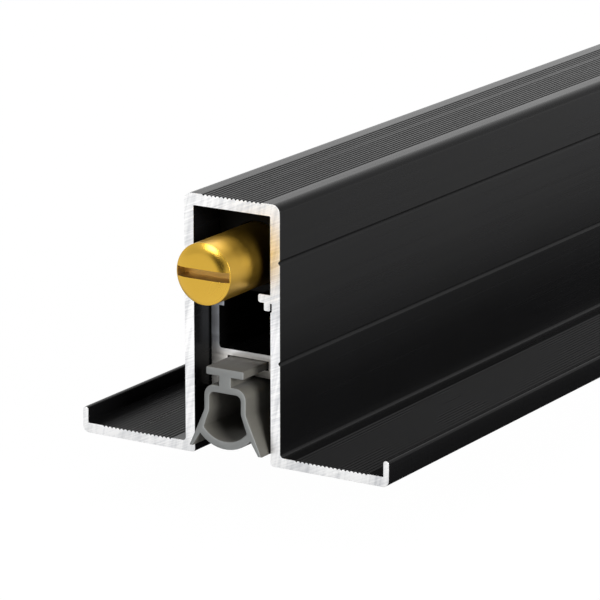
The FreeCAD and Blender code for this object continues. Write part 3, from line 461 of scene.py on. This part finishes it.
def brass_finish(name, dark, light, rough):
    finish = Finish(name, metallic=1.0)
    marks = finish.effect(tool_marks, finish.turned_coordinates(ALONG_THE_BAR), Fine=6000, Long=60)
    cloud = finish.effect(unevenness, Size=150)
    satin = finish.spread(marks, low=rough - 0.04, high=rough + 0.04)
    finish.send(finish.add(satin, finish.spread(cloud, low=-0.03, high=0.05)), "Roughness")
    finish.send(finish.blend(cloud, dark, light), "Base Color")
    finish.bump(marks, distance=0.01 * MM, strength=0.4)
    return finish.material


turned_brass = brass_finish("turned_brass", (0.58, 0.35, 0.045), (0.72, 0.445, 0.066), rough=0.24)
drawn_brass = brass_finish("drawn_brass", (0.58, 0.34, 0.045), (0.72, 0.44, 0.066), rough=0.37)
# The slot's darker, browner brass is painted shade for the slot's shaded walls.
slot_shade_brass = brass_finish("slot_shade_brass", (0.46, 0.31, 0.11), (0.58, 0.40, 0.15), rough=0.42)
print("made", turned_brass.name, drawn_brass.name, "and", slot_shade_brass.name)

# %% [markdown]
# ## Steel
#
# Rod, levers, pins and screws are plated with zinc, which is bluish and uneven. Spring steel is darker
# and smoother. Both could be wired by hand. One function serves them, with the unevenness as the main
# effect and the marks as a light one, because only their colours and gloss differ.

# %% Steel finishes


def steel_finish(name, dark, light, rough):
    finish = Finish(name, metallic=1.0)
    cloud = finish.effect(unevenness, Size=350)
    marks = finish.effect(tool_marks, Fine=3500, Long=400)
    satin = finish.spread(cloud, low=rough - 0.07, high=rough + 0.07)
    finish.send(finish.add(satin, finish.spread(marks, low=-0.03, high=0.03)), "Roughness")
    finish.send(finish.blend(cloud, dark, light), "Base Color")
    finish.bump(marks, distance=0.006 * MM, strength=0.4)
    return finish.material


zinc_steel = steel_finish("zinc_steel", (0.50, 0.53, 0.57), (0.68, 0.70, 0.72), rough=0.34)
spring_steel = steel_finish("spring_steel", (0.30, 0.30, 0.31), (0.44, 0.44, 0.45), rough=0.28)
print("made", zinc_steel.name, "and", spring_steel.name)

# %% [markdown]
# ## Rubber and nylon
#
# The seal is a soft grey elastomer with a dull, slightly powdery skin, so it gets a little sheen. Its
# skin is warm grey and its fresh cut ends are paler and bluer. This is partly the rubber's own colour and
# partly painted: the skin is darkened as painted shade for its hollows and sides, and the cut ends are
# lightened as painted light from the front. The hidden blocks are black nylon, moulded with a fine grain.
# A plain matt colour could stand for each of these, but close up it looks like paint, so both get grain
# in gloss and bump.

# %% Rubber finishes
SHEEN = 0.12
SHEEN_ROUGH = 0.5


def rubber_finish(name, dark, light):
    finish = Finish(name, specular=0.3)
    finish.shader.inputs["Sheen Weight"].default_value = SHEEN
    finish.shader.inputs["Sheen Roughness"].default_value = SHEEN_ROUGH
    lines = finish.effect(die_lines, Across=1500, Along=14)
    cloud = finish.effect(unevenness, Size=120)
    skin = finish.add(lines, finish.effect(unevenness, Size=5200))
    finish.send(finish.spread(skin, low=0.50, high=0.66, start=0.7, stop=1.3), "Roughness")
    finish.send(finish.blend(cloud, dark, light), "Base Color")
    finish.bump(skin, distance=0.012 * MM, strength=0.5)
    return finish.material


# The skin's dark colour is partly painted shade. The cut ends' pale colour is partly painted light.
grey_rubber = rubber_finish("grey_rubber", (0.074, 0.070, 0.060), (0.098, 0.094, 0.081))
cut_and_lit_rubber = rubber_finish("cut_and_lit_rubber", (0.196, 0.203, 0.200), (0.240, 0.248, 0.245))
print("made", grey_rubber.name, "and", cut_and_lit_rubber.name)

# %% Nylon finish
NYLON_DARK = (0.004, 0.004, 0.004)
NYLON_LIGHT = (0.007, 0.007, 0.007)


def nylon_finish():
    finish = Finish("black_nylon", specular=0.08)
    grain = finish.effect(unevenness, Size=3200)
    finish.send(finish.spread(grain, low=0.42, high=0.6), "Roughness")
    finish.send(finish.blend(grain, NYLON_DARK, NYLON_LIGHT), "Base Color")
    finish.bump(grain, distance=0.02 * MM, strength=0.5)
    return finish.material


black_nylon = nylon_finish()
print("made", black_nylon.name)

# %% [markdown]
# ## The housing
#
# One top-hat extrusion of aluminium, anodised as a long bar and then sawn to length, so its skin is black
# and its two ends are bare. It could be extruded again from a drawn section. The solid already has the
# right section, ribs and grooves, so a merged copy only takes a hair of rounding on its edges, and the
# faces that the saw made get their own finish.

# %% Housing
EDGE_BREAK = 0.035 * MM
END_DEPTH = 0.06 * MM


def cut_to_length(piece, front, back, end_finish):
    """Gives an anodised bar its black skin, and its two cut ends the bare metal's finish."""
    give_finishes(piece, black_anodised, end_finish)
    for face in piece.data.polygons:
        cut = face.center.y < front + END_DEPTH or face.center.y > back - END_DEPTH
        face.material_index = 1 if cut else 0


housing = copy_of("housing", "housing_extrusion")
soften(housing, EDGE_BREAK, segments=1)
cut_to_length(housing, housing_low.y, housing_high.y, sawn_aluminium)
put_on(housing, "housing", "black_anodised", "housing")

# %% [markdown]
# ## The seal carrier
#
# A second, smaller extrusion rides up and down between the housing's walls. It is given the housing's
# black skin and bare ends, so it is made the way the housing was. It could share the housing's end
# finish, but its walls' ends carry painted shade, so it gets its own.

# %% Carrier
CARRIER_EDGE = 0.05 * MM

carrier = copy_of("seal_carrier", "carrier_extrusion")
carrier_low, carrier_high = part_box("seal_carrier")
soften(carrier, CARRIER_EDGE)
cut_to_length(carrier, carrier_low.y, carrier_high.y, cut_aluminium)
put_on(carrier, "carrier", "black_anodised", "seal_carrier")

# %% [markdown]
# ## The rubber seal
#
# The seal is one soft extrusion: a T head that slides into the carrier, a hollow bulb and two fins. A
# straight copy would look like metal, because rubber never lies quite straight. So the copy's ends are
# rounded, it is cut into short lengths, and its skin is then moved by slow waves that die out in the
# head, where the carrier grips it.

# %% Seal: round its ends and cut it into lengths
SEAL_STEP = 3.0 * MM
SEAL_END_ROUND = 0.16 * MM
ROUND_STEPS = 3
END_FACING = 0.99

seal = copy_of("door_seal", "rubber_seal")
seal_low, seal_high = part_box("door_seal")
seal_length = seal_high.y - seal_low.y
select_faces(seal, lambda normal: abs(normal.y) > END_FACING)
bpy.ops.mesh.region_to_loop()
bpy.ops.mesh.bevel(offset=SEAL_END_ROUND, segments=ROUND_STEPS, affect="EDGES")
lengths = int(seal_length / SEAL_STEP)
for cut in range(1, lengths):
    bpy.ops.mesh.select_all(action="SELECT")
    place = Vector((0, seal_low.y + cut * seal_length / lengths, 0))
    bpy.ops.mesh.bisect(plane_co=place, plane_no=(0, 1, 0))
bpy.ops.object.mode_set(mode="OBJECT")
print("seal in", lengths, "lengths")

# %% Seal: wave it and dress it
WAVE_HEIGHT = 0.05 * MM
SWAY_WAVES = [(23, 1.0, 0.0), (9.1, 0.6, 1.3)]
SWELL_WAVES = [(17, 1.0, 0.8), (6.3, 0.5, 0.0)]
SWELL_SHARE = 0.5
CUT_FACING = 0.6


def wave(along_mm, parts):
    """A sum of sine waves, each with a length in millimetres per radian, a height and a start."""
    return sum(height * math.sin(along_mm / length + start) for length, height, start in parts)


for vertex in seal.data.vertices:
    free = min(1, max(0, (carrier_low.z - vertex.co.z) / (carrier_low.z - seal_low.z)))
    sway = wave(vertex.co.y / MM, SWAY_WAVES)
    swell = math.copysign(wave(vertex.co.y / MM, SWELL_WAVES), vertex.co.x)
    vertex.co.x += WAVE_HEIGHT * free * (sway + SWELL_SHARE * swell)
smooth(seal)
give_finishes(seal, grey_rubber, cut_and_lit_rubber)
# Cut ends get the paler rubber, partly painted light. The skin gets the darker one, partly painted shade.
for face in seal.data.polygons:
    face.material_index = 1 if abs(face.normal.y) > CUT_FACING else 0
put_on(seal, "carrier", "grey_rubber", "door_seal")

# %% [markdown]
# ## The brass plunger
#
# The plunger is turned from bar, crowned at its front and slotted for a screwdriver, because turning it
# sets how far the seal drops. A bevel on a cylinder would round its rim too evenly. So the cylinder's
# front face is inset in small steps, and each step moves a little further out along an arc, which makes
# the shallow crown that catches the lamp. Then a slot that stops short of the rim is cut, and every edge
# that the cutter left sharp is broken.

# %% Plunger: the crowned bar
PLUNGER_SIDES = 128
CROWN_RADIUS = 4.35 * MM
CROWN_DROP = 0.45 * MM
CROWN_STEPS = 12

plunger_low, plunger_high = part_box("plunger")
plunger_middle = (plunger_low + plunger_high) / 2
plunger_radius = (plunger_high.x - plunger_low.x) / 2
plunger_length = plunger_high.y - plunger_low.y
crown_width = math.sqrt(CROWN_RADIUS ** 2 - (CROWN_RADIUS - CROWN_DROP) ** 2)


def bar_along_y(name, radius, length, middle):
    bpy.ops.object.select_all(action="DESELECT")
    bpy.ops.mesh.primitive_cylinder_add(
        vertices=PLUNGER_SIDES, radius=radius, depth=length, location=middle, rotation=(math.pi / 2, 0, 0)
    )
    bar = bpy.context.object
    bar.name = name
    bpy.ops.object.transform_apply(location=True, rotation=True, scale=True)
    return bar


def crown_fall(inset):
    """How far the crown lies behind the flat front, at a distance in from the plunger's side."""
    return CROWN_RADIUS - math.sqrt(CROWN_RADIUS ** 2 - (crown_width - inset) ** 2)


side_middle = plunger_middle + Vector((0, CROWN_DROP / 2, 0))
plunger = bar_along_y("brass_plunger", plunger_radius, plunger_length - CROWN_DROP, side_middle)
select_faces(plunger, lambda normal: normal.y < -END_FACING)
step_width = crown_width / CROWN_STEPS
for step in range(CROWN_STEPS):
    rise = crown_fall(step * step_width) - crown_fall((step + 1) * step_width)
    bpy.ops.mesh.inset(thickness=step_width)
    bpy.ops.transform.translate(value=(0, -rise, 0))
bpy.ops.object.mode_set(mode="OBJECT")
print("crown", round(crown_width / MM, 2), "mm wide")

# %% Plunger: the slot and the bore
SLOT_WIDTH = 1.25 * MM
SLOT_DEPTH = 2.1 * MM
SLOT_RIM = 0.15 * MM
BORE_RADIUS = 2.05 * MM
BORE_DEPTH = 9.6 * MM
PLUNGER_EDGE = 0.07 * MM


def cut_away(piece, tool):
    apply_modifier(piece, "BOOLEAN", operation="DIFFERENCE", object=tool, solver="EXACT")
    bpy.data.objects.remove(tool)


bpy.ops.object.select_all(action="DESELECT")
bpy.ops.mesh.primitive_cube_add(size=1, location=(0, plunger_low.y, plunger_middle.z))
slot_tool = bpy.context.object
slot_tool.scale = (2 * (plunger_radius - SLOT_RIM), 2 * SLOT_DEPTH, SLOT_WIDTH)
cut_away(plunger, slot_tool)
bore_middle = Vector((0, plunger_high.y, plunger_middle.z))
cut_away(plunger, bar_along_y("bore_tool", BORE_RADIUS, 2 * BORE_DEPTH, bore_middle))
soften(plunger, PLUNGER_EDGE)
print("slot", round(SLOT_DEPTH / MM, 2), "mm deep, bore", round(BORE_DEPTH / MM, 2), "mm deep")

# %% Plunger: its three brasses
FRONT_BRASS, SIDE_BRASS, SLOT_SHADE_BRASS = range(3)
SLOT_MOUTH = 0.15 * MM
SIDE_FACING = 0.1


def brass_of(face):
    """The front is turned, the side is the drawn bar's, and the slot is milled behind its mouth."""
    centre = face.center
    in_slot = (
        abs(centre.x) < plunger_radius - SLOT_RIM + MERGE_DISTANCE
        and abs(centre.z - plunger_middle.z) < SLOT_WIDTH / 2 + MERGE_DISTANCE
        and SLOT_MOUTH < centre.y - plunger_low.y < SLOT_DEPTH + MERGE_DISTANCE
    )
    # Faces in the slot get the brass with painted shade.
    if in_slot:
        return SLOT_SHADE_BRASS
    return SIDE_BRASS if abs(face.normal.y) < SIDE_FACING else FRONT_BRASS


give_finishes(plunger, turned_brass, drawn_brass, slot_shade_brass)
for face in plunger.data.polygons:
    face.material_index = brass_of(face)
put_on(plunger, "plunger", "brass", "plunger")

# %% [markdown]
# ## The return spring
#
# A coil of round wire pushes the rod back out. Its end turns lie closed against each other and the rest
# are open. A Screw modifier could sweep a circle, but its pitch is the same all along. So a curve follows
# the coil by formula, a round bevel gives it its wire, and it is then made a mesh.

# %% Spring
SPRING_TURNS = 7
CLOSED_TURNS = 1.0
STEPS_PER_TURN = 28
WIRE = 0.8 * MM
WIRE_ROUNDING = 3

spring_low, spring_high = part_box("return_spring")
spring_length = spring_high.y - spring_low.y
spring_axis = (spring_low.z + spring_high.z) / 2
coil_radius = (spring_high.x - spring_low.x - WIRE) / 2
open_turns = SPRING_TURNS - 2 * CLOSED_TURNS
open_length = spring_length - WIRE - 2 * CLOSED_TURNS * WIRE


def coil_point(turn):
    """The wire's middle after so many turns, as a curve point with its weight."""
    angle = 2 * math.pi * turn
    opened = min(1, max(0, (turn - CLOSED_TURNS) / open_turns))
    closed = min(turn, CLOSED_TURNS) + max(0, turn - SPRING_TURNS + CLOSED_TURNS)
    along = spring_low.y + WIRE / 2 + closed * WIRE + opened * open_length
    return coil_radius * math.cos(angle), along, spring_axis + coil_radius * math.sin(angle), 1


coil = bpy.data.curves.new("spring_path", "CURVE")
coil.dimensions = "3D"
coil.bevel_depth = WIRE / 2
coil.bevel_resolution = WIRE_ROUNDING
coil.use_fill_caps = True
path = coil.splines.new("POLY")
path.points.add(SPRING_TURNS * STEPS_PER_TURN)
for index, point in enumerate(path.points):
    point.co = coil_point(index / STEPS_PER_TURN)
spring = bpy.data.objects.new("coil_spring", coil)
bpy.context.scene.collection.objects.link(spring)
select_only(spring)
bpy.ops.object.convert(target="MESH")
spring = bpy.context.object
smooth(spring)
give_finishes(spring, spring_steel)
put_on(spring, "housing", "spring_steel", "return_spring")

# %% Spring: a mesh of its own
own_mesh(spring)

# %% [markdown]
# ## The pieces inside
#
# The rod, nut, clips, levers, pins and blocks make the seal drop, and they keep the form of their solids.
# They could be left as they are, with new materials alone. Copies with lightly broken edges catch the
# light as stamped, turned and moulded pieces do, so each gets one, with the edge that its making leaves.

# %% Inner pieces
TURNED_EDGE = 0.05 * MM
STAMPED_EDGE = 0.06 * MM
SMALL_EDGE = 0.04 * MM
MOULDED_EDGE = 0.12 * MM
INNER_PIECES = [
    ("push_rod", zinc_steel, TURNED_EDGE),
    ("lock_nut", zinc_steel, TURNED_EDGE),
    ("spring_washer", zinc_steel, TURNED_EDGE),
    ("spring_clip", spring_steel, SMALL_EDGE),
    ("stop_clip", spring_steel, SMALL_EDGE),
    ("plunger_guide", black_nylon, MOULDED_EDGE),
    ("bracket_screws", zinc_steel, SMALL_EDGE),
]
for side in ("front", "rear"):
    for block in ("bracket", "saddle"):
        INNER_PIECES.append((f"{side}_{block}", black_nylon, MOULDED_EDGE))
    for hand in ("left", "right"):
        INNER_PIECES.append((f"{side}_lever_{hand}", zinc_steel, STAMPED_EDGE))
    for pin in ("pivot", "drive", "lift", "saddle"):
        INNER_PIECES.append((f"{side}_{pin}_pin", zinc_steel, TURNED_EDGE))
bodies = frame["record"]["behaviour"]["bodies"]
node_body = {node: body for body, nodes in bodies.items() for node in nodes}
node_slot = {subpart["node"]: subpart["material_slot"] for subpart in frame["record"]["subparts"]}
for node, finish, edge in INNER_PIECES:
    piece = copy_of(node, f"{node}_piece")
    soften(piece, edge)
    give_finishes(piece, finish)
    put_on(piece, node_body[node], node_slot[node], node)

# %% [markdown]
# ## A dark place in the studio
#
# The plunger's bright front is a dull mirror, and a mirror shows the studio. Where the camera and its
# stand keep the light away, the brass has a dark patch. That patch could be painted on the brass, but it
# would then turn with the plunger. So a node group darkens one round place in front of the object, and
# both floor and studio use it.

# %% Dark place
DARK_DIRECTION = Vector((-0.143, -0.990, 0.0))
DARK_INNER = math.cos(math.radians(10))
DARK_OUTER = math.cos(math.radians(18))
SHADED = 0.02


def dark_place_group():
    group, enter, leave = new_group("dark_place", [], "Share")
    along = group.nodes.new("ShaderNodeVectorMath")
    along.operation = "NORMALIZE"
    group.links.new(enter.outputs["Vector"], along.inputs[0])
    facing = group.nodes.new("ShaderNodeVectorMath")
    facing.operation = "DOT_PRODUCT"
    facing.inputs[1].default_value = DARK_DIRECTION
    group.links.new(along.outputs[0], facing.inputs[0])
    share = fade(group, facing.outputs["Value"], DARK_OUTER, DARK_INNER, 1.0, SHADED)
    group.links.new(share, leave.inputs[0])
    return group


dark_place = dark_place_group()
print("made", dark_place.name)

# %% [markdown]
# ## The floor
#
# The floor lies just under the dropped seal. More light could make it white, but that would bleach the
# object. So a glow that only the camera and reflections see makes it white, and a small share of plain
# grey floor under the glow still takes the object's shadow. In reflections the floor is dark close beside
# the object, as a real floor is in the shade of what stands on it.

# %% Floor: how bright it is in reflections
FLOOR_GAP = 0.2 * MM
SHADE_NEAR = 27 * MM
SHADE_FAR = 38 * MM
SIDE_SHARE = 0.74
END_NEAR = 2 * MM
END_FAR = 12 * MM
END_SHARE = 1.08

drop = next(joint for joint in frame["joints"] if joint["name"] == "carrier_drop")
floor_level = seal_low.z - drop["range_m"][1] - FLOOR_GAP
print("floor", round(-floor_level / MM, 1), "mm below the flanges")


def reflected_share(tree):
    """How bright each place on the floor is in reflections."""
    coordinates = tree.nodes.new("ShaderNodeTexCoord").outputs["Object"]
    place = tree.nodes.new("ShaderNodeSeparateXYZ")
    tree.links.new(coordinates, place.inputs[0])
    beside = arithmetic(tree, "SUBTRACT", arithmetic(tree, "ABSOLUTE", place.outputs["X"]), solid_box[1].x)
    beyond = arithmetic(tree, "SUBTRACT", arithmetic(tree, "ABSOLUTE", place.outputs["Y"]), solid_box[1].y)
    sides = fade(tree, beside, SHADE_NEAR, SHADE_FAR, SHADED, SIDE_SHARE)
    ends = fade(tree, beyond, END_NEAR, END_FAR, SHADED, END_SHARE)
    from_plunger = tree.nodes.new("ShaderNodeVectorMath")
    from_plunger.operation = "SUBTRACT"
    tree.links.new(coordinates, from_plunger.inputs[0])
    from_plunger.inputs[1].default_value = (0, plunger_low.y, plunger_middle.z - floor_level)
    dark = placed_group(tree, dark_place, from_plunger.outputs[0])
    return arithmetic(tree, "MULTIPLY", arithmetic(tree, "MAXIMUM", sides, ends), dark.outputs[0])


# %% Floor: its finish and place
FLOOR_SIZE = 6
FLOOR_GREY = 0.5
FLOOR_ROUGH = 0.9
SEEN_SHARE = 0.97
SEEN_GLOW = 1.02


def floor_finish():
    material = bpy.data.materials.new("white_floor")
    material.use_nodes = True
    tree = material.node_tree
    shader = tree.nodes["Principled BSDF"]
    shader.inputs["Base Color"].default_value = (FLOOR_GREY, FLOOR_GREY, FLOOR_GREY, 1)
    shader.inputs["Roughness"].default_value = FLOOR_ROUGH
    rays = tree.nodes.new("ShaderNodeLightPath")
    seen = arithmetic(tree, "MULTIPLY", rays.outputs["Is Camera Ray"], SEEN_GLOW)
    reflected = arithmetic(tree, "MULTIPLY", rays.outputs["Is Glossy Ray"], reflected_share(tree))
    glow = tree.nodes.new("ShaderNodeEmission")
    tree.links.new(arithmetic(tree, "MAXIMUM", seen, reflected), glow.inputs["Color"])
    glowing = arithmetic(tree, "MAXIMUM", rays.outputs["Is Camera Ray"], rays.outputs["Is Glossy Ray"])
    mix = tree.nodes.new("ShaderNodeMixShader")
    tree.links.new(arithmetic(tree, "MULTIPLY", glowing, SEEN_SHARE), mix.inputs["Fac"])
    tree.links.new(shader.outputs[0], mix.inputs[1])
    tree.links.new(glow.outputs[0], mix.inputs[2])
    tree.links.new(mix.outputs[0], tree.nodes["Material Output"].inputs["Surface"])
    return material


bpy.ops.object.select_all(action="DESELECT")
bpy.ops.mesh.primitive_plane_add(size=FLOOR_SIZE, location=(0, 0, floor_level))
floor = bpy.context.object
floor.name = "floor"
floor.data.materials.append(floor_finish())
print("floor", FLOOR_SIZE, "m wide")

# %% [markdown]
# ## The lamps
#
# Soft square lamps stand for a studio's light boxes. The key lamp on the right lights the front end and
# the right side, a weak lamp in front draws the bright crescent on the plunger's crown, and a wide one
# hangs above. One strong lamp would do for brightness alone, but three soft ones keep the shadows open.
# All aim at the front end.

# %% Lamps
LAMPS = [
    ("key_lamp", (1.17, -0.55, 0.40), 0.60, 20.0),
    ("front_lamp", (-0.33, -1.21, 0.53), 0.36, 4.2),
    ("top_lamp", (0.1, 0.3, 1.2), 1.0, 7.0),
]
for name, place, width, power in LAMPS:
    bpy.ops.object.select_all(action="DESELECT")
    bpy.ops.object.light_add(type="AREA", location=place)
    lamp = bpy.context.object
    lamp.name = name
    lamp.data.shape = "SQUARE"
    lamp.data.size = width
    lamp.data.energy = power
    lamp.rotation_euler = (front_end - Vector(place)).to_track_quat("-Z", "Y").to_euler()
    print(name, power, "W,", width, "m wide")

# %% [markdown]
# ## The studio around
#
# Black anodising shows mostly what it reflects, so the studio's walls are part of its look. A plain white
# world would turn every side the same grey. Here the world fills in weakly as light. In reflections it is
# brighter at the back and dimmer on the right, which gives top, wall and flanges their different greys.
# The camera itself sees plain white.

# %% Studio
FILL = 0.16
FRONT_LEVEL = 0.80
BACK_LEVEL = 1.25
FRONT_TO_BACK = (-0.9, 0.3)
HIGH_SHARE = 1.05
LOW_TO_HIGH = (0.25, 0.6)
RIGHT_SHARE = 0.58
LEFT_TO_RIGHT = (-0.2, 0.5)


def mixed(tree, share, first, second):
    """A value between two values, by a share from 0 to 1."""
    node = tree.nodes.new("ShaderNodeMix")
    for label, source in (("Factor", share), ("A", first), ("B", second)):
        feed(tree, source, node.inputs[label])
    return node.outputs[0]


def studio_world():
    world = bpy.data.worlds.new("studio")
    world.use_nodes = True
    tree = world.node_tree
    direction = tree.nodes.new("ShaderNodeTexCoord").outputs["Generated"]
    along = tree.nodes.new("ShaderNodeSeparateXYZ")
    tree.links.new(direction, along.inputs[0])
    reflected = fade(tree, along.outputs["Y"], *FRONT_TO_BACK, FRONT_LEVEL, BACK_LEVEL)
    high = fade(tree, along.outputs["Z"], *LOW_TO_HIGH, 1.0, HIGH_SHARE)
    right = fade(tree, along.outputs["X"], *LEFT_TO_RIGHT, 1.0, RIGHT_SHARE)
    dark = placed_group(tree, dark_place, direction)
    for share in (high, right, dark.outputs[0]):
        reflected = arithmetic(tree, "MULTIPLY", reflected, share)
    rays = tree.nodes.new("ShaderNodeLightPath")
    lit = mixed(tree, rays.outputs["Is Glossy Ray"], FILL, reflected)
    seen = mixed(tree, rays.outputs["Is Camera Ray"], lit, 1.0)
    tree.links.new(seen, tree.nodes["Background"].inputs["Color"])
    return world


bpy.context.scene.world = studio_world()
bpy.context.scene.view_settings.view_transform = "Standard"
print("world", bpy.context.scene.world.name, "fills with", FILL)
